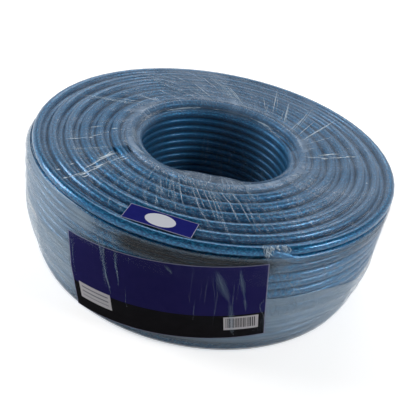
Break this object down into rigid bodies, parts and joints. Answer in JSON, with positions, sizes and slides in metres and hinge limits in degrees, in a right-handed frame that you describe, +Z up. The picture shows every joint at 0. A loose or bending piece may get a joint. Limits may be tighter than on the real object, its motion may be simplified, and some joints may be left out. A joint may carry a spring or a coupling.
{
  "type": "microphone cable coil",
  "caption": "Film-wrapped coil of bulk microphone cable wound round an open bore, with a label on the outer wall and a sticker on the top face.",
  "frame": {"origin": "centre of the base, on the surface that the coil stands on", "axes": "+Z up along the bore; -Y towards the wall that carries the label"},
  "size_m": [0.262, 0.262, 0.0874],
  "materials": {
    "cable_jacket": "translucent blue PVC, gloss",
    "inner_jacket": "translucent blue PVC, in shadow",
    "tinned_shield": "spirally laid tinned copper",
    "textile": "wrap and filler yarn",
    "red_insulation": "matt polyethylene",
    "white_insulation": "matt polyethylene",
    "copper": "bare stranded copper",
    "clear_film": "clear stretch film, gloss",
    "girth_film": "hazy stretch film, several plies",
    "printed_label": "coated paper, printed dark blue and black",
    "printed_sticker": "coated paper, printed dark blue"
  },
  "bodies": {
    "root": {"inner_turns": "inner_jacket", "outer_turns": "cable_jacket", "outer_end_jacket": "cable_jacket", "outer_end_shield": "tinned_shield", "outer_end_wrap": "textile", "outer_end_fillers": "textile", "outer_end_red_insulation": "red_insulation", "outer_end_red_conductor": "copper", "outer_end_white_insulation": "white_insulation", "outer_end_white_conductor": "copper", "inner_end_jacket": "cable_jacket", "inner_end_shield": "tinned_shield", "inner_end_wrap": "textile", "inner_end_fillers": "textile", "inner_end_red_insulation": "red_insulation", "inner_end_red_conductor": "copper", "inner_end_white_insulation": "white_insulation", "inner_end_white_conductor": "copper", "upper_girth_film": "girth_film", "lower_girth_film": "girth_film", "bore_film": "clear_film", "side_label": "printed_label", "top_sticker": "printed_sticker"}
  },
  "joints": []
}
